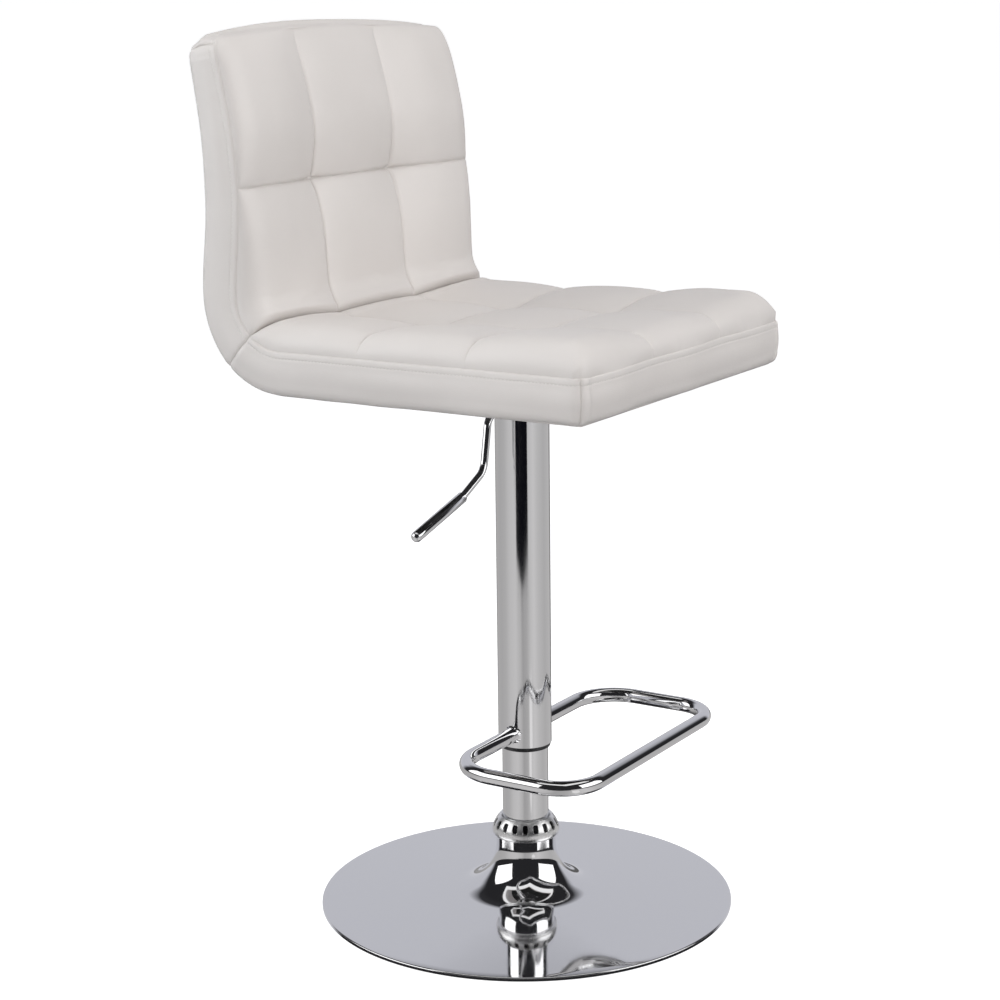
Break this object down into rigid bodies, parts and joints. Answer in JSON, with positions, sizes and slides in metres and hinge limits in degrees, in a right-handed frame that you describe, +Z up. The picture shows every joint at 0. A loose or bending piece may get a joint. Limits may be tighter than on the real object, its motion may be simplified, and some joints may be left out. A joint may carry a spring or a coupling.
{
  "type": "swivel bar stool",
  "caption": "Height-adjustable swivel bar stool with a quilted seat and low back on a chromed gas-lift column, with a footrest loop, a release lever and a round trumpet base.",
  "frame": {"origin": "on the floor, on the column's axis", "axes": "+Z up along the column, the sitter faces -Y, and the release lever is on the -X side"},
  "size_m": [0.45, 0.493, 0.9414],
  "materials": {
    "chrome": "polished",
    "steel": "satin",
    "black_steel": "satin",
    "aluminium": "satin",
    "black_plastic": "satin",
    "rubber": "matte",
    "plywood": "matte",
    "foam": "matte",
    "leather": "satin",
    "dust_cloth": "matte"
  },
  "bodies": {
    "base": {"floor_ring": "rubber", "base_plate": "steel", "base_hub": "steel", "hub_bolts": "steel", "base_cover": "chrome", "collar_ring": "chrome", "column_tube": "chrome", "column_end_plate": "steel", "lower_race": "steel", "thrust_balls": "steel", "column_bush": "black_plastic"},
    "gas_rod": {"piston_rod": "steel", "piston_head": "aluminium", "piston_seal": "rubber", "upper_race": "steel", "rubber_bumper": "rubber", "retaining_clip": "steel"},
    "lift": {"gas_cylinder": "black_steel", "valve_body": "aluminium", "cylinder_end_guide": "black_plastic", "cylinder_seal": "rubber", "sleeve_tube": "chrome", "sleeve_guide_ring": "black_plastic", "sleeve_top_ring": "black_plastic", "footrest_bar": "chrome", "footrest_welds": "chrome", "mount_hub": "black_steel", "mechanism_channel": "black_steel", "seat_plate": "black_steel", "plate_bolts": "steel", "spring_washers": "steel", "tee_nuts": "steel", "lever_pivot_pin": "steel", "pivot_clips": "steel", "seat_shell": "plywood", "seat_cushion": "foam", "back_cushion": "foam", "seat_band_left": "leather", "seat_band_right": "leather", "back_band_left": "leather", "back_band_right": "leather", "front_band": "leather", "top_band": "leather", "outer_cover": "leather", "dust_cover": "dust_cloth"},
    "lever": {"lever_rod": "chrome", "lever_grip": "chrome"},
    "valve_pin": {"release_pin": "steel"}
  },
  "joints": [
    {"name": "swivel", "type": "hinge", "parent": "base", "child": "gas_rod", "pos_m": [0, 0, 0], "axis": [0, 0, 1], "continuous": true},
    {"name": "height", "type": "slide", "parent": "gas_rod", "child": "lift", "axis": [0, 0, 1], "range_m": [-0.07, 0.14]},
    {"name": "lever_tilt", "type": "hinge", "parent": "lift", "child": "lever", "pos_m": [-0.026, 0, 0.56083], "axis": [0, 1, 0], "range_deg": [0, 7], "stiffness_Nm_per_rad": 1},
    {"name": "valve_press", "type": "slide", "parent": "lift", "child": "valve_pin", "axis": [0, 0, -1], "range_m": [0, 0.004]}
  ],
  "couplings": [
    {"joint": "valve_press", "follows": "lever_tilt", "m_per_rad": 0.026}
  ]
}
